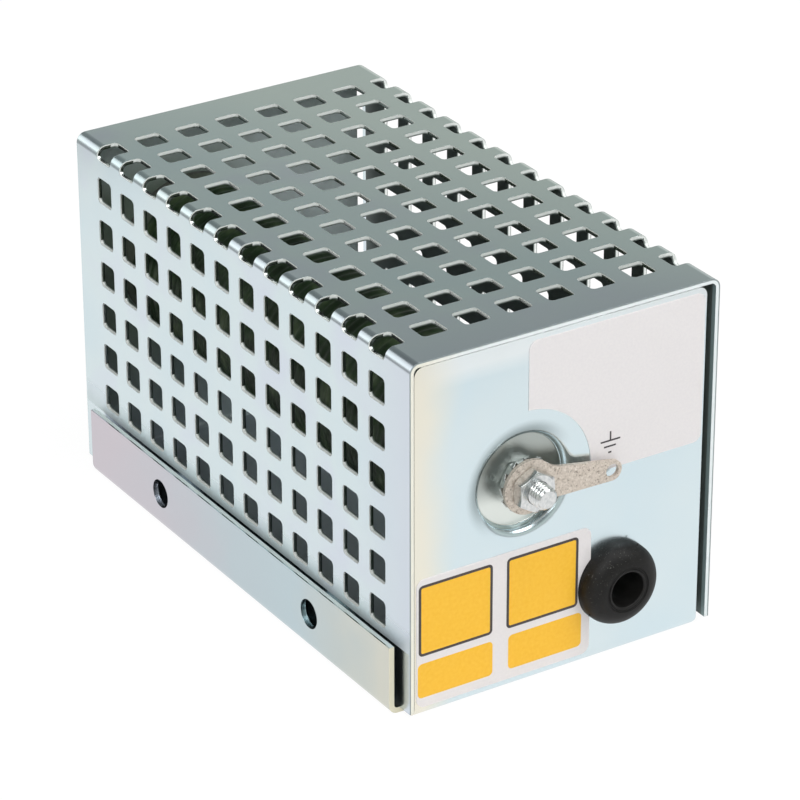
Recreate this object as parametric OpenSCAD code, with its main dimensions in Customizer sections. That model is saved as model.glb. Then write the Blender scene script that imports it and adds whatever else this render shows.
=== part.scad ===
// Enclosure heater: a perforated steel cover over a folded steel chassis. The chassis holds one
// wirewound heater tube on a through rod, whose front end is the earth stud.
// Millimetres, +Z up, the front plate faces -Y. The origin is the centre of the base's underside.

/* [Cover] */
// Outer width of the folded cover
cover_w = 74; // [66:0.5:90]
// Length of the cover from its front edge to its rear edge
cover_l = 134; // [114:1:180]
// Height of the cover's top face above the base
cover_top = 79.5; // [74:0.5:100]
// Sheet thickness of the cover
cover_t = 1; // [0.8:0.1:1.4]
// Inside radius of the cover's two folds
cover_fold_r = 1.2; // [0.8:0.1:1.6]

/* [Perforation] */
// Width of a square hole
hole_w = 6; // [4:0.1:7]
// Corner radius of a hole
hole_corner_r = 1; // [0.4:0.1:1.4]
// Distance between the centres of neighbouring holes
hole_pitch = 10; // [8.5:0.1:12]
// Least distance from an end of the cover to the centres of the first holes
hole_end_margin = 12; // [8:0.5:18]
// Least distance from a side face to the centres of the outermost rows on top
hole_top_margin = 12; // [10:0.5:16]
// Drop from the top face to the centres of the first row on a side
hole_side_drop = 9.8; // [9:0.1:12]
// Least height above the base of the centres of the lowest row on a side
hole_low_limit = 19; // [17:0.5:28]
// How far the holes on a fold reach over the top, from the side face
fold_hole_top = 5; // [3.6:0.1:6]
// How far the holes on a fold reach down the side, from the top face
fold_hole_side = 2.8; // [2.4:0.1:4]

/* [Chassis] */
// Sheet thickness of the chassis
chassis_t = 1.2; // [1:0.1:1.6]
// Inside radius of the chassis folds
chassis_fold_r = 0.8; // [0.5:0.1:1.2]
// Clearance between the end plates and the cover's left wall
plate_gap_left = 0.1; // [0.1:0.1:0.6]
// Clearance between the end plates and the cover's right wall
plate_gap_right = 2.2; // [1.4:0.1:3]
// Clearance between the end plates and the cover's top
plate_gap_top = 0.1; // [0.1:0.1:0.8]
// Corner radius of the end plates
plate_corner_r = 2; // [1:0.1:3]
// Height of the two side flanges
flange_h = 15.5; // [14:0.5:18]
// Gap between the left flange and the cover's left wall
flange_gap = 1.2; // [0.8:0.1:3]
// Setback of the left flange from the front end
flange_front = 3.9; // [2.6:0.1:6]
// Setback of the right flange from the front end
right_flange_front = 8; // [4:0.5:12]
// Setback of the flanges from the rear end
flange_rear = 6.1; // [4:0.1:10]
// Radius of the left flange's lower rear corner
flange_corner_r = 2.5; // [1:0.1:4]
// Diameter of the fixing holes in the left flange
fixing_hole_d = 6.5; // [4.5:0.1:7]
// Distance between the fixing holes
fixing_span = 62; // [40:1:90]
// Height of the fixing holes above the base
fixing_z = 8.4; // [7:0.1:10]

/* [Pressed dish] */
// Sideways place of the rod and the dishes
rod_x = -10; // [-12:0.5:-8]
// Height of the rod and the dishes
rod_z = 46.2; // [44:0.1:50]
// Diameter of a dish at its wall
dish_d = 20.6; // [18:0.1:22]
// Radius of a dish's lip
dish_lip_r = 1.9; // [1.4:0.1:2.2]
// Radius where a dish's wall meets its floor
dish_corner_r = 0.4; // [0.3:0.1:0.8]
// Straight depth of a dish's wall between the two radii
dish_straight = 0.05; // [0.05:0.05:0.5]

/* [Heater tube] */
// Outer diameter of the enamel coat
coat_d = 38; // [34:0.5:40]
// Thickness of the enamel coat over the ceramic core
coat_t = 1; // [0.6:0.1:1.4]
// Bare length of the ceramic core at each end
core_bare = 5; // [3:0.5:6]
// Radial clearance between the core's bore and the pressed dishes
core_fit = 0.3; // [0.2:0.05:0.8]
// Thickness of the mica washers at the ends
mica_t = 1; // [0.6:0.1:2]
// Clearance at each end of the tube
core_end_gap = 0.1; // [0.05:0.05:0.3]

/* [Through rod] */
// Diameter of the rod
rod_d = 5; // [4:0.1:5.5]
// Radial clearance of nuts and washers on the rod
rod_fit = 0.05; // [0.02:0.01:0.1]
// Radial clearance of the holes in the chassis for the rod
rod_hole_fit = 0.25; // [0.1:0.05:0.5]
// Chamfer at the ends of the rod
rod_chamfer = 0.6; // [0.3:0.1:0.8]
// Length of rod that stands out of the front nut
rod_front_out = 3.4; // [1.5:0.1:6]
// Length of rod that stands out of the rear nut
rod_rear_out = 1.8; // [1:0.1:5]
// Size of the nuts across their flats
nut_af = 8; // [7:0.1:9]
// Height of the two outer nuts
nut_h = 3; // [2.4:0.1:5]
// Height of the thin nut in the front dish
thin_nut_h = 2.4; // [2:0.1:3.5]
// Turn of the front nut on the rod
earth_nut_turn = 30; // [0:1:60]

/* [Tooth washers] */
// Thickness of a tooth washer's sheet
tooth_t = 0.6; // [0.4:0.05:0.8]
// Outer diameter across the teeth
tooth_d = 12.2; // [11:0.1:13]
// Diameter of the flat ring inside the teeth
tooth_ring_d = 9.2; // [8.5:0.1:9.8]
// Number of teeth
tooth_count = 12; // [8:1:14]
// Width of a tooth
tooth_w = 1.5; // [1:0.1:1.8]
// Angle that the teeth are twisted by
tooth_twist = 28; // [15:1:35]

/* [Earth tag] */
// Thickness of the tag
tag_t = 0.8; // [0.5:0.1:1.2]
// Outer diameter of the tag's ring
tag_ring_d = 11.9; // [11:0.1:12.5]
// Distance from the rod to the hole in the tag's tip
tag_reach = 20.1; // [17:0.1:22]
// Width of the tag where its neck ends
tag_neck_w = 6.6; // [5.6:0.1:8]
// Width of the tag's rounded tip
tag_tip_w = 4.6; // [4.2:0.1:6]
// Diameter of the hole in the tip
tag_hole_d = 3; // [2:0.1:3.4]
// Radius of the hollow curves at the neck
tag_neck_r = 7; // [4:0.5:9]
// Turn of the tag on the rod
tag_turn = -5.7; // [-20:0.1:10]

/* [Grommet] */
// Sideways place of the grommet
grommet_x = 12.6; // [11:0.1:15]
// Height of the grommet
grommet_z = 17.2; // [15:0.1:20]
// Outer diameter of the grommet
grommet_d = 18; // [15:0.1:20]
// Diameter of the cable hole
grommet_hole_d = 7.8; // [6:0.1:9]
// Diameter of the panel hole
grommet_panel_d = 13.5; // [12:0.1:14]
// Height of the front lip
grommet_front_h = 5; // [4:0.1:6]
// Radius of the front lip's outer edge
grommet_front_r = 4; // [2:0.1:4.2]
// Height of the rear lip
grommet_rear_h = 3; // [2:0.1:4]
// Radius of the rear lip's outer edge
grommet_rear_r = 1.4; // [0.8:0.1:1.8]
// Radius of the edges of the cable hole
grommet_mouth_r = 0.4; // [0.2:0.1:0.6]
// Width of the bead between the cable hole and the groove round it
grommet_bead_w = 0.6; // [0.5:0.1:1]
// Diameter of the groove's section
grommet_groove_d = 0.6; // [0.3:0.1:0.8]
// Clearance of the grommet in the panel
grommet_fit = 0.05; // [0.02:0.01:0.2]

/* [Element lugs] */
// Distance of the lugs from the ends of the enamel coat
lug_inset = 9.7; // [6:0.1:20]
// Angle of the lugs below the horizontal
lug_angle = 40; // [30:1:50]
// Width of a lug
lug_w = 8; // [7:0.5:9]
// Thickness of a lug
lug_t = 0.8; // [0.6:0.1:1.2]
// Arc of a lug's saddle on the tube
lug_wrap = 46; // [30:1:60]
// Distance from the tube's coat to the lug's hole
lug_reach = 7.5; // [7:0.1:9]
// Clearance between a lug and the coat
lug_seat = 0.05; // [0.02:0.01:0.2]
// Diameter of the lug screws
lug_screw_d = 4; // [3:0.1:4.2]
// Diameter of the ring on a lead's end
eye_d = 8; // [7.4:0.1:9]
// Thickness of the ring on a lead's end
eye_t = 0.8; // [0.6:0.1:1]
// Length of the crimped barrel on a lead's end
eye_barrel_l = 8; // [6:0.5:10]
// Wall of the crimped barrel
eye_barrel_t = 0.6; // [0.5:0.05:0.8]
// Size of the lug nuts across their flats
lug_nut_af = 7; // [6:0.1:8]
// Height of the lug nuts
lug_nut_h = 3.2; // [2.4:0.1:4]
// Length of screw that stands out of a lug nut
lug_screw_out = 1; // [0.5:0.1:2]

/* [Terminal block] */
// Gap between the terminal block and the right flange
block_side_gap = 4.7; // [3.6:0.1:6]
// Place of the terminal block along the case
block_y = -29; // [-36:1:-24]
// Width of the block
block_w = 28; // [27:0.5:30]
// Depth of the block
block_d = 22; // [20:0.5:26]
// Height of the block
block_h = 17; // [16:0.5:19]
// Corner radius of the block
block_corner_r = 2; // [1:0.1:3]
// Distance between the two poles
pole_span = 15; // [14.6:0.1:16]
// Height of the poles above the block's foot
pole_z = 8; // [7:0.1:8.5]
// Outer diameter of the brass inserts
insert_d = 6.4; // [6:0.1:6.8]
// Length of the brass inserts
insert_l = 18; // [16:0.5:19]
// Radial clearance of the inserts in the block
insert_fit = 0.1; // [0.05:0.05:0.2]
// Distance of a terminal screw from the block's middle
clamp_y = 5.5; // [4.8:0.1:6.5]
// Diameter of the terminal screws
clamp_d = 3.4; // [3:0.1:3.6]
// Diameter of the terminal screws' heads
clamp_head_d = 4.8; // [4.4:0.1:5]
// Height of the terminal screws' heads
clamp_head_h = 2.2; // [1.6:0.1:2.6]
// Radial clearance of screws in their holes
screw_fit = 0.1; // [0.05:0.05:0.25]
// Diameter of the block's fixing screw
block_screw_d = 3.5; // [3:0.1:4]
// Diameter of the fixing screw's head
block_head_d = 6.6; // [6:0.1:6.8]
// Height of the fixing screw's seat above the block's foot
block_seat_h = 9; // [6:0.5:10]

/* [Leads] */
// Diameter of the sleeved leads
lead_d = 3; // [2.4:0.1:3.2]
// Radial clearance of a lead in its terminal
lead_fit = 0.3; // [0.2:0.05:0.4]
// Sides of the leads
lead_sides = 10; // [8:1:12]

/* [Cover screws] */
// Diameter of the cover screws
cover_screw_d = 4; // [3:0.1:4.5]
// Length of the cover screws under their heads
cover_screw_l = 5; // [4:0.1:6]
// Diameter of the cover screws' heads
cover_head_d = 8; // [6.5:0.1:9]
// Height of the cover screws' heads
cover_head_h = 2.3; // [1.6:0.1:3]
// Clearance between the right flange and the cover's right wall
cover_fit = 0.1; // [0.05:0.05:0.3]

/* [Labels] */
// Thickness of the labels
label_t = 0.15; // [0.1:0.05:0.3]
// Corner radius of the labels
label_corner_r = 2; // [1:0.1:3]
// Left edge of the upper label
upper_label_left = -9.2; // [-12:0.1:0]
// Distance from the upper label's top to the end plate's top
upper_label_drop = 1.2; // [1:0.1:4]
// Height of the upper label
upper_label_h = 33.6; // [28:0.1:36]
// Distance from the labels to the end plate's edges
label_inset = 0.4; // [0.2:0.1:1]
// Radius of the upper label's cut-out round the rod
upper_label_arc_r = 16; // [14.5:0.1:18]
// Width of the lower label
lower_label_w = 42; // [36:0.5:44]
// Bottom edge of the lower label above the base
lower_label_z = 2.2; // [2.1:0.1:5]
// Height of the lower label
lower_label_h = 29.4; // [24:0.1:30]
// Clearance between the lower label and the grommet
label_fit = 0.1; // [0.05:0.05:0.4]

/* [Hidden] */
$fn = 64;
cut = 1;
tiny = 0.000001;

// Perforation
hole_cols = floor((cover_l - 2 * hole_end_margin) / hole_pitch + tiny) + 1;
top_rows = floor((cover_w - 2 * hole_top_margin) / hole_pitch + tiny) + 1;
side_rows = floor((cover_top - hole_side_drop - hole_low_limit) / hole_pitch + tiny) + 1;
function spread(count) = [for (i = [0:count - 1]) (i - (count - 1) / 2) * hole_pitch];

// Chassis
front_y = -cover_l / 2;
rear_y = cover_l / 2;
plate_left = -cover_w / 2 + cover_t + plate_gap_left;
plate_right = cover_w / 2 - cover_t - plate_gap_right;
plate_top = cover_top - cover_t - plate_gap_top;
chassis_out_r = chassis_fold_r + chassis_t;
flange_y0 = front_y + flange_front;
flange_y1 = rear_y - flange_rear;
right_flange_y0 = front_y + right_flange_front;
left_flange_x = -cover_w / 2 - flange_gap - chassis_t;
right_flange_x = cover_w / 2 - cover_t - cover_fit;
fixing_y = [for (s = [-1, 1]) (flange_y0 + flange_y1) / 2 + s * fixing_span / 2];

// Dishes and what is stacked on the rod, as distances outwards from a dish's floor
dish_wall_r = dish_d / 2;
dish_depth = dish_lip_r + dish_straight + dish_corner_r;
front_floor_y = front_y + dish_depth;
rear_floor_y = rear_y - dish_depth;
tooth_rise = tooth_w / 2 * sin(tooth_twist) + tooth_t / 2 * cos(tooth_twist) - tooth_t / 2;
thin_nut_at = 0;
front_washer_at = thin_nut_at + thin_nut_h + tooth_rise;
tag_at = front_washer_at + tooth_t + tooth_rise;
earth_nut_at = tag_at + tag_t;
rod_front_end = front_floor_y - earth_nut_at - nut_h - rod_front_out;
rear_washer_at = tooth_rise;
rear_nut_at = rear_washer_at + tooth_t + tooth_rise;
rod_rear_end = rear_floor_y + rear_nut_at + nut_h + rod_rear_out;

// Heater tube
inner_l = cover_l - 2 * chassis_t;
boss_d = dish_d + 2 * chassis_t;
core_bore_d = boss_d + 2 * core_fit;
core_d = coat_d - 2 * coat_t;
mica_bore_d = boss_d + 2 * (dish_lip_r - chassis_t + core_fit);
core_l = inner_l - 2 * (mica_t + core_end_gap);
coat_l = core_l - 2 * core_bare;

// Lugs and lead ends
lug_y = coat_l / 2 - lug_inset;
lug_r = coat_d / 2 + lug_seat;
lug_hole_r = coat_d / 2 + lug_reach;
eye_barrel_d = lead_d + 2 * lead_fit + 2 * eye_barrel_t;
eye_barrel_y = eye_d / 2 + eye_t;
eye_axis_h = lug_t / 2 + eye_barrel_d / 2;

// Terminal block
block_x = right_flange_x - chassis_t - block_side_gap - block_w / 2;
pole_axis_z = chassis_t + pole_z;
insert_bore_d = lead_d + 2 * lead_fit;
block_rear_y = block_y + block_d / 2;

// A point at a lug: outwards from the rod, along the case, and square to the lug
function at_lug_point(side, out, along, up) = [
    rod_x + out * cos(lug_angle) + up * sin(lug_angle),
    side * lug_y + along,
    rod_z - out * sin(lug_angle) + up * cos(lug_angle)
];
function lead_start(side, along) = at_lug_point(side, lug_hole_r, -side * along, eye_axis_h);
function lead_stop(pole, y) = [block_x + pole * pole_span / 2, y, pole_axis_z];
eye_mouth = eye_barrel_y + eye_barrel_l;
front_lead_route = [
    lead_start(-1, eye_barrel_y + 1), lead_start(-1, eye_mouth),
    [10, -22, 31], [9, -8, 26], [8.5, -3, 18], [8.5, -8, 11],
    lead_stop(-1, block_rear_y + 2), lead_stop(-1, block_y + insert_l / 2), lead_stop(-1, block_y + 3)
];
rear_lead_route = [
    lead_start(1, eye_barrel_y + 1), lead_start(1, eye_mouth),
    [13, 26, 29], [17, 13, 21], [22, 0, 12],
    lead_stop(1, block_rear_y + 6), lead_stop(1, block_y + insert_l / 2), lead_stop(1, block_y + 3)
];

// Smooth curve through a route's points, and a tube along it
lead_steps = 4;
function clamped(route, i) = route[max(0, min(len(route) - 1, i))];
function curve_point(a, b, c, d, t) = 0.5 * (2 * b + (c - a) * t + (2 * a - 5 * b + 4 * c - d) * t * t
    + (3 * b - a - 3 * c + d) * t * t * t);
function curve(route) = [
    for (i = [0:len(route) - 2], k = [0:lead_steps - 1])
        curve_point(clamped(route, i - 1), route[i], route[i + 1], clamped(route, i + 2), k / lead_steps),
    route[len(route) - 1]
];
function unit(v) = v / norm(v);
function heading(path, i) = unit(clamped(path, i + 1) - clamped(path, i - 1));
function tube_points(path, r, sides) = [
    for (i = [0:len(path) - 1])
        let (t = heading(path, i), n = unit(cross(t, [1, 0, 0])), b = cross(t, n))
            for (k = [0:sides - 1]) path[i] + r * (cos(360 * k / sides) * n + sin(360 * k / sides) * b)
];
function tube_faces(rings, sides) = concat(
    [[for (k = [0:sides - 1]) k]],
    [for (i = [0:rings - 2], k = [0:sides - 1])
        let (a = i * sides + k, b = i * sides + (k + 1) % sides) [a, a + sides, b + sides, b]],
    [[for (k = [sides - 1:-1:0]) (rings - 1) * sides + k]]
);

// Shapes that repeat
module round_rect(w, h, r) {
    square([w - 2 * r, h], center = true);
    square([w, h - 2 * r], center = true);
    for (x = [-1, 1], y = [-1, 1])
        translate([x * (w / 2 - r), y * (h / 2 - r)]) circle(r);
}

// Rectangle that stands on the X axis, with its two upper corners rounded
module arch(w, h, r) {
    translate([-w / 2, 0]) square([w, h - r]);
    translate([-w / 2 + r, 0]) square([w - 2 * r, h]);
    for (x = [-1, 1]) translate([x * (w / 2 - r), h - r]) circle(r);
}

// What is cut away to round a corner that lies at the origin, with the material at lower left
module corner_waste(r) {
    difference() {
        translate([-r, -r]) square(r + cut);
        translate([-r, -r]) circle(r);
    }
}

// Quarter ring of sheet about the origin, in the quadrant that sx and sy give
module sheet_bend(r_in, r_out, sx, sy) {
    intersection() {
        difference() {
            circle(r_out);
            circle(r_in);
        }
        mirror([sx < 0 ? 1 : 0, 0]) mirror([0, sy < 0 ? 1 : 0]) square(r_out);
    }
}

// Folded angle: foot of width w along +X, upright of height h along +Y
module angle_section(w, h, t, r) {
    translate([r + t, 0]) square([w - r - t, t]);
    translate([0, r + t]) square([t, h - r - t]);
    translate([r + t, r + t]) sheet_bend(r, r + t, -1, -1);
}

module hex_nut(af, h, bore_d) {
    tip_r = af / 2 / cos(30);
    face_r = af / 2 * 0.97;
    bevel = (tip_r - face_r) * tan(30);
    difference() {
        intersection() {
            cylinder(r = tip_r, h = h, $fn = 6);
            rotate_extrude() polygon([
                [0, 0], [face_r, 0], [tip_r, bevel], [tip_r, h - bevel], [face_r, h], [0, h]
            ]);
        }
        translate([0, 0, -cut]) cylinder(d = bore_d, h = h + 2 * cut);
    }
}

// Slotted pan head screw: the seat is at height 0, the head above it and the shank below
module pan_screw(d, l, head_d, head_h) {
    edge_r = head_h * 0.5;
    slot_w = head_d * 0.14;
    slot_depth = head_h * 0.45;
    tip = d * 0.12;
    difference() {
        rotate_extrude() difference() {
            square([head_d / 2, head_h]);
            translate([head_d / 2, head_h]) corner_waste(edge_r);
        }
        translate([-head_d, -slot_w / 2, head_h - slot_depth]) cube([2 * head_d, slot_w, head_h]);
    }
    rotate_extrude() polygon([
        [0, 0], [d / 2, 0], [d / 2, tip - l], [d / 2 - tip, -l], [0, -l]
    ]);
}

// On the rod at the front, with the outward direction as +Z and up as +Y
module on_front(out) {
    translate([rod_x, front_floor_y - out, rod_z]) rotate([90, 0, 0]) children();
}

// On the rod at the rear, with the outward direction as +Z
module on_rear(out) {
    translate([rod_x, rear_floor_y + out, rod_z]) rotate([-90, 0, 0]) children();
}

// At a lug: +X away from the rod, +Y along the case, +Z square to the lug
module at_lug(side) {
    translate([rod_x, side * lug_y, rod_z]) rotate([0, lug_angle, 0]) children();
}

// Folded zinc-plated chassis
module tray_section() {
    difference() {
        translate([0, plate_top]) mirror([0, 1]) arch(cover_l, plate_top, chassis_out_r);
        translate([0, plate_top + cut]) mirror([0, 1])
            arch(inner_l, plate_top + cut - chassis_t, chassis_fold_r);
    }
}

module dish_section() {
    translate([dish_wall_r + dish_lip_r, dish_lip_r])
        sheet_bend(dish_lip_r - chassis_t, dish_lip_r, -1, -1);
    translate([dish_wall_r, dish_lip_r]) square([chassis_t, dish_straight]);
    translate([dish_wall_r - dish_corner_r, dish_lip_r + dish_straight])
        sheet_bend(dish_corner_r, dish_corner_r + chassis_t, 1, 1);
    translate([0, dish_depth]) square([dish_wall_r - dish_corner_r, chassis_t]);
}

module plate_corner(x, z, side, y0, l) {
    translate([x, y0 + l, z]) rotate([90, 0, 0]) linear_extrude(l)
        mirror([side < 0 ? 1 : 0, 0]) corner_waste(plate_corner_r);
}

module chassis_tray() {
    difference() {
        translate([plate_left, 0, 0]) rotate([90, 0, 90])
            linear_extrude(plate_right - plate_left) tray_section();
        plate_corner(plate_right, plate_top, 1, front_y - cut, cover_l + 2 * cut);
        plate_corner(plate_left, plate_top, -1, front_y - cut, cover_l + 2 * cut);
        for (y = [front_y - cut, rear_y - chassis_out_r])
            translate([plate_right, y + chassis_out_r + cut, 0]) rotate([90, 0, 0])
                linear_extrude(chassis_out_r + cut) mirror([0, 1]) corner_waste(plate_corner_r);
        translate([rod_x, 0, rod_z]) rotate([90, 0, 0])
            cylinder(r = dish_wall_r + dish_lip_r, h = cover_l + 2 * cut, center = true);
        translate([grommet_x, front_y - cut, grommet_z]) rotate([-90, 0, 0])
            cylinder(d = grommet_panel_d, h = chassis_t + 2 * cut);
        translate([block_x, block_y, -cut])
            cylinder(r = block_screw_d / 2 + screw_fit, h = chassis_t + 2 * cut);
    }
}

module chassis_dishes() {
    difference() {
        union() {
            on_front(dish_depth) mirror([0, 0, 1]) rotate_extrude() dish_section();
            on_rear(dish_depth) mirror([0, 0, 1]) rotate_extrude() dish_section();
        }
        translate([rod_x, 0, rod_z]) rotate([90, 0, 0])
            cylinder(r = rod_d / 2 + rod_hole_fit, h = cover_l, center = true);
    }
}

module left_flange() {
    foot = plate_left - left_flange_x + chassis_out_r;
    difference() {
        translate([left_flange_x, flange_y1, 0]) rotate([90, 0, 0])
            linear_extrude(flange_y1 - flange_y0)
                angle_section(foot, flange_h, chassis_t, chassis_fold_r);
        for (y = fixing_y)
            translate([left_flange_x - cut, y, fixing_z]) rotate([0, 90, 0])
                cylinder(d = fixing_hole_d, h = chassis_t + 2 * cut);
        translate([left_flange_x - cut, flange_y1, 0]) rotate([90, 0, 90])
            linear_extrude(plate_left - left_flange_x + cut)
                mirror([0, 1]) corner_waste(flange_corner_r);
    }
}

module right_flange() {
    foot = right_flange_x - plate_right + chassis_out_r + plate_corner_r;
    difference() {
        translate([right_flange_x, right_flange_y0, 0]) rotate([90, 0, 180])
            linear_extrude(flange_y1 - right_flange_y0)
                angle_section(foot, flange_h, chassis_t, chassis_fold_r);
        for (y = fixing_y)
            translate([right_flange_x + cut, y, fixing_z]) rotate([0, -90, 0])
                cylinder(r = cover_screw_d / 2 + screw_fit, h = chassis_t + 2 * cut);
    }
}

module chassis() {
    color("gainsboro") {
        chassis_tray();
        chassis_dishes();
        left_flange();
        right_flange();
    }
}

// Perforated cover, one sheet folded twice
module cover_section() {
    wall_h = cover_top - chassis_t;
    difference() {
        arch(cover_w, wall_h, cover_fold_r + cover_t);
        translate([0, -cut])
            arch(cover_w - 2 * cover_t, wall_h - cover_t + cut, cover_fold_r);
    }
}

module hole_shape() {
    round_rect(hole_w, hole_w, hole_corner_r);
}

module fold_hole() {
    over = cover_t + hole_corner_r + cut;
    intersection() {
        translate([fold_hole_top / 2 - over / 2, 0, -hole_w])
            linear_extrude(2 * hole_w) round_rect(fold_hole_top + over, hole_w, hole_corner_r);
        translate([-hole_w, 0, over / 2 - fold_hole_side / 2]) rotate([90, 0, 90])
            linear_extrude(3 * hole_w) round_rect(hole_w, fold_hole_side + over, hole_corner_r);
    }
}

module perforated_cover() {
    color("lightsteelblue") difference() {
        translate([0, rear_y, chassis_t]) rotate([90, 0, 0]) linear_extrude(cover_l) cover_section();
        for (x = spread(top_rows), y = spread(hole_cols))
            translate([x, y, cover_top - cover_t - cut]) linear_extrude(cover_t + 2 * cut) hole_shape();
        for (row = [0:side_rows - 1], y = spread(hole_cols))
            translate([-cover_w / 2 - cut, y, cover_top - hole_side_drop - row * hole_pitch])
                rotate([90, 0, 90]) linear_extrude(cover_w + 2 * cut) hole_shape();
        for (side = [0, 1], y = spread(hole_cols))
            mirror([side, 0, 0]) translate([-cover_w / 2, y, cover_top]) fold_hole();
        for (y = fixing_y)
            translate([cover_w / 2 - cover_t - cut, y, fixing_z]) rotate([0, 90, 0])
                cylinder(r = cover_screw_d / 2 + screw_fit, h = cover_t + 2 * cut);
    }
}

// Ceramic core with its winding under a green enamel coat
module heating_element() {
    color("darkolivegreen") translate([rod_x, core_l / 2, rod_z]) rotate([90, 0, 0])
        rotate_extrude() difference() {
            union() {
                translate([core_bore_d / 2, 0]) square([(core_d - core_bore_d) / 2, core_l]);
                translate([core_bore_d / 2, core_bare]) square([(coat_d - core_bore_d) / 2, coat_l]);
            }
            translate([coat_d / 2, core_bare + coat_l]) corner_waste(coat_t);
            translate([coat_d / 2, core_bare]) mirror([0, 1]) corner_waste(coat_t);
        }
}

// Mica washers between the tube and the end plates
module mica_washer() {
    difference() {
        cylinder(d = core_d, h = mica_t);
        translate([0, 0, -cut]) cylinder(d = mica_bore_d, h = mica_t + 2 * cut);
    }
}

module front_mica_washer() {
    color("tan") translate([rod_x, front_y + chassis_t, rod_z]) rotate([-90, 0, 0]) mica_washer();
}

module rear_mica_washer() {
    color("tan") translate([rod_x, rear_y - chassis_t, rod_z]) rotate([90, 0, 0]) mica_washer();
}

// Through rod that clamps the tube, with the earth stud as its front end
module tie_rod() {
    l = rod_rear_end - rod_front_end;
    r = rod_d / 2;
    color("silver") translate([rod_x, rod_front_end, rod_z]) rotate([-90, 0, 0])
        rotate_extrude() polygon([
            [0, 0], [r - rod_chamfer, 0], [r, rod_chamfer],
            [r, l - rod_chamfer], [r - rod_chamfer, l], [0, l]
        ]);
}

module thin_nut() {
    color("silver") on_front(thin_nut_at) hex_nut(nut_af, thin_nut_h, rod_d + 2 * rod_fit);
}

module tooth_washer() {
    tooth_l = (tooth_d - tooth_ring_d) / 2 + tooth_t;
    difference() {
        union() {
            cylinder(d = tooth_ring_d, h = tooth_t);
            for (i = [0:tooth_count - 1])
                rotate(i * 360 / tooth_count) translate([tooth_d / 2 - tooth_l / 2, 0, tooth_t / 2])
                    rotate([tooth_twist, 0, 0]) cube([tooth_l, tooth_w, tooth_t], center = true);
        }
        translate([0, 0, -cut]) cylinder(r = rod_d / 2 + rod_fit, h = tooth_t + 2 * cut);
    }
}

module front_tooth_washer() {
    color("silver") on_front(front_washer_at) tooth_washer();
}

module rear_tooth_washer() {
    color("silver") on_rear(rear_washer_at) tooth_washer();
}

// Tinned solder tag on the earth stud
module tag_outline() {
    ring_r = tag_ring_d / 2;
    neck = tag_neck_w / 2;
    tip_r = tag_tip_w / 2;
    neck_x = sqrt(pow(ring_r + tag_neck_r, 2) - pow(neck + tag_neck_r, 2));
    meet = ring_r / (ring_r + tag_neck_r);
    meet_x = neck_x * meet;
    meet_y = (neck + tag_neck_r) * meet;
    circle(ring_r);
    translate([tag_reach, 0]) circle(tip_r);
    difference() {
        polygon([
            [0, -meet_y], [meet_x, -meet_y], [neck_x, -neck], [tag_reach, -tip_r],
            [tag_reach, tip_r], [neck_x, neck], [meet_x, meet_y], [0, meet_y]
        ]);
        for (side = [-1, 1]) translate([neck_x, side * (neck + tag_neck_r)]) circle(tag_neck_r);
    }
}

module earth_tag() {
    color("rosybrown") on_front(tag_at) rotate(tag_turn) difference() {
        linear_extrude(tag_t) tag_outline();
        translate([0, 0, -cut]) cylinder(r = rod_d / 2 + rod_fit, h = tag_t + 2 * cut);
        translate([tag_reach, 0, -cut]) cylinder(d = tag_hole_d, h = tag_t + 2 * cut);
    }
}

module earth_nut() {
    color("silver") on_front(earth_nut_at) rotate(earth_nut_turn)
        hex_nut(nut_af, nut_h, rod_d + 2 * rod_fit);
}

module rear_nut() {
    color("silver") on_rear(rear_nut_at) hex_nut(nut_af, nut_h, rod_d + 2 * rod_fit);
}

// Rubber cable grommet that snaps into the front plate
module grommet_section() {
    hole_r = grommet_hole_d / 2;
    outer_r = grommet_d / 2;
    neck_r = grommet_panel_d / 2 - grommet_fit;
    rear = chassis_t + grommet_fit;
    difference() {
        union() {
            translate([hole_r, 0]) square([outer_r - hole_r, grommet_front_h]);
            translate([hole_r, -rear - grommet_rear_h]) square([neck_r - hole_r, rear + 2 * grommet_rear_h]);
            translate([hole_r, -rear - grommet_rear_h]) square([outer_r - hole_r, grommet_rear_h]);
        }
        translate([outer_r, grommet_front_h]) corner_waste(grommet_front_r);
        translate([outer_r, -rear - grommet_rear_h]) mirror([0, 1]) corner_waste(grommet_rear_r);
        translate([hole_r, grommet_front_h]) mirror([1, 0]) corner_waste(grommet_mouth_r);
        translate([hole_r + grommet_bead_w + grommet_groove_d / 2, grommet_front_h])
            circle(d = grommet_groove_d);
        translate([hole_r, -rear - grommet_rear_h]) mirror([1, 0]) mirror([0, 1])
            corner_waste(grommet_mouth_r);
    }
}

module grommet() {
    color("dimgray") translate([grommet_x, front_y, grommet_z]) rotate([90, 0, 0])
        rotate_extrude() grommet_section();
}

// Terminal lugs fired onto the tube near its ends
module lug(side) {
    l = lug_hole_r - lug_r;
    color("lightgray") at_lug(side) difference() {
        union() {
            rotate([90, 0, 0]) rotate(-lug_wrap / 2) rotate_extrude(angle = lug_wrap)
                translate([lug_r, -lug_w / 2]) square([lug_t, lug_w]);
            translate([0, 0, -lug_t / 2]) linear_extrude(lug_t) {
                translate([lug_r + lug_t / 2, -lug_w / 2]) square([l - lug_t / 2, lug_w]);
                translate([lug_hole_r, 0]) circle(lug_w / 2);
            }
        }
        translate([lug_hole_r, 0, -cut]) cylinder(r = lug_screw_d / 2 + screw_fit, h = 2 * cut);
    }
}

module front_lug() {
    lug(-1);
}

module rear_lug() {
    lug(1);
}

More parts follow.
